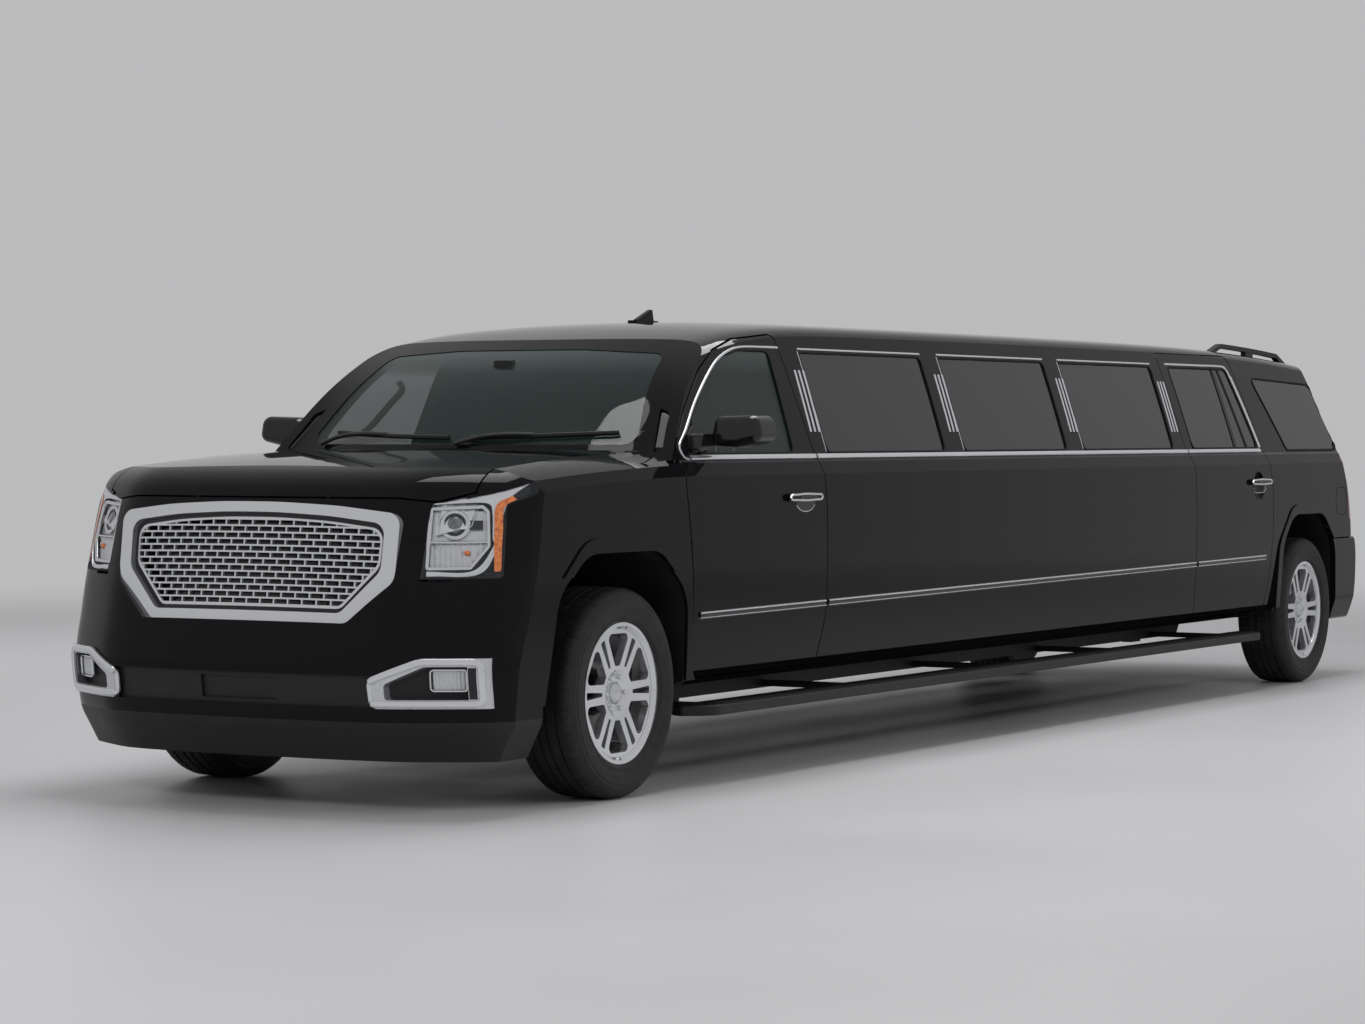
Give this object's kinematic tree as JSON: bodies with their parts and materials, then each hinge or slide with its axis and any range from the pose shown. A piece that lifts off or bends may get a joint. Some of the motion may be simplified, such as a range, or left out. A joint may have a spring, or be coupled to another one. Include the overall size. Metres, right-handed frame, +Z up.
{
  "type": "stretch limousine",
  "caption": "Stretch limousine on a large sport-utility base: hollow cabin with hinged doors, hood and liftgate, steered front wheels and a long windowed lounge.",
  "frame": {"origin": "on the ground under the middle of the car's length, on its centre plane", "axes": "+X forward along the car, +Y to the car's left, +Z up"},
  "size_m": [9.5472, 2.4398, 1.9405],
  "materials": {
    "paint": "deep gloss black clear-coated paint",
    "chrome": "bright polished chrome",
    "black_plastic": "grained satin black plastic",
    "dark_glass": "very dark tinted glass",
    "clear_glass": "clear glass with a faint green tint",
    "lamp_lens": "clear lens over a bright reflector",
    "red_lens": "glossy red lens",
    "tyre_rubber": "black tyre rubber",
    "frame_steel": "satin black painted steel",
    "engine_iron": "plain cast iron",
    "floor_steel": "black sealed steel sheet",
    "cabin_plastic": "soft-touch dark plastic",
    "seat_leather": "dark grained leather",
    "partition_panel": "dark trimmed panel"
  },
  "bodies": {
    "body": {"antenna": "paint", "chassis_frame": "frame_steel", "cowl": "black_plastic", "dashboard": "cabin_plastic", "driveline": "frame_steel", "engine_block": "engine_iron", "floor_pan": "floor_steel", "fog_bezels": "chrome", "fog_lamps": "lamp_lens", "front_arms": "frame_steel", "front_bumper": "paint", "front_fenders": "paint", "front_roof": "paint", "front_seats": "seat_leather", "front_valance": "black_plastic", "grille_backing": "black_plastic", "grille_mesh": "chrome", "grille_surround": "chrome", "headlamps": "lamp_lens", "lounge_bench": "seat_leather", "partition": "partition_panel", "rear_axle": "frame_steel", "rear_bumper": "paint", "rear_frame": "frame_steel", "rear_quarters": "paint", "rear_tubs": "black_plastic", "roof": "paint", "roof_rails": "black_plastic", "running_boards": "black_plastic", "side_glass": "dark_glass", "side_panels": "paint", "tail_lamps": "red_lens", "wheel_liners": "black_plastic", "windshield": "clear_glass"},
    "front_door_left": {"door_fl": "paint", "glass_fl": "clear_glass", "mirror_l": "paint"},
    "front_door_right": {"door_fr": "paint", "glass_fr": "clear_glass", "mirror_r": "paint"},
    "rear_door_left": {"door_rl": "paint", "glass_rl": "dark_glass"},
    "rear_door_right": {"door_rr": "paint", "glass_rr": "dark_glass"},
    "hood": {"hood": "paint"},
    "liftgate": {"liftgate": "paint", "liftgate_glass": "dark_glass"},
    "knuckle_left": {"knuckle_l": "frame_steel"},
    "knuckle_right": {"knuckle_r": "frame_steel"},
    "steering_wheel": {"steering_wheel": "cabin_plastic"},
    "wheel_fl": {"rim_fl": "chrome", "tyre_fl": "tyre_rubber"},
    "wheel_fr": {"rim_fr": "chrome", "tyre_fr": "tyre_rubber"},
    "wheel_rl": {"rim_rl": "chrome", "tyre_rl": "tyre_rubber"},
    "wheel_rr": {"rim_rr": "chrome", "tyre_rr": "tyre_rubber"}
  },
  "joints": [
    {"name": "front_door_left_hinge", "type": "hinge", "parent": "body", "child": "front_door_left", "pos_m": [3.1835, 1.014, 0.9], "axis": [0, 0, -1], "range_deg": [0, 65]},
    {"name": "front_door_right_hinge", "type": "hinge", "parent": "body", "child": "front_door_right", "pos_m": [3.1835, -1.014, 0.9], "axis": [0, 0, 1], "range_deg": [0, 65]},
    {"name": "rear_door_left_hinge", "type": "hinge", "parent": "body", "child": "rear_door_left", "pos_m": [-2.0975, 1.014, 0.9], "axis": [0, 0, -1], "range_deg": [0, 65]},
    {"name": "rear_door_right_hinge", "type": "hinge", "parent": "body", "child": "rear_door_right", "pos_m": [-2.0975, -1.014, 0.9], "axis": [0, 0, 1], "range_deg": [0, 65]},
    {"name": "hood_hinge", "type": "hinge", "parent": "body", "child": "hood", "pos_m": [3.2515, 0, 1.345], "axis": [0, -1, 0], "range_deg": [0, 50]},
    {"name": "liftgate_hinge", "type": "hinge", "parent": "body", "child": "liftgate", "pos_m": [-4.42, 0, 1.8], "axis": [0, 1, 0], "range_deg": [0, 88]},
    {"name": "steer_left", "type": "hinge", "parent": "body", "child": "knuckle_left", "pos_m": [3.6475, 0.7805, 0.405], "axis": [0, 0, 1], "range_deg": [-35, 35]},
    {"name": "steer_right", "type": "hinge", "parent": "body", "child": "knuckle_right", "pos_m": [3.6475, -0.7805, 0.405], "axis": [0, 0, 1], "range_deg": [-35, 35]},
    {"name": "steering_column", "type": "hinge", "parent": "body", "child": "steering_wheel", "pos_m": [2.5669, 0.4, 1.0871], "axis": [-0.9355, 0, 0.3534], "range_deg": [-540, 540]},
    {"name": "wheel_spin_fl", "type": "hinge", "parent": "knuckle_left", "child": "wheel_fl", "pos_m": [3.6475, 0.8725, 0.405], "axis": [0, 1, 0], "continuous": true},
    {"name": "wheel_spin_fr", "type": "hinge", "parent": "knuckle_right", "child": "wheel_fr", "pos_m": [3.6475, -0.8725, 0.405], "axis": [0, 1, 0], "continuous": true},
    {"name": "wheel_spin_rl", "type": "hinge", "parent": "body", "child": "wheel_rl", "pos_m": [-3.8025, 0.8725, 0.405], "axis": [0, 1, 0], "continuous": true},
    {"name": "wheel_spin_rr", "type": "hinge", "parent": "body", "child": "wheel_rr", "pos_m": [-3.8025, -0.8725, 0.405], "axis": [0, 1, 0], "continuous": true}
  ],
  "couplings": [
    {"joint": "steer_right", "follows": "steer_left", "ratio": 1},
    {"joint": "steering_column", "follows": "steer_left", "ratio": 15}
  ]
}
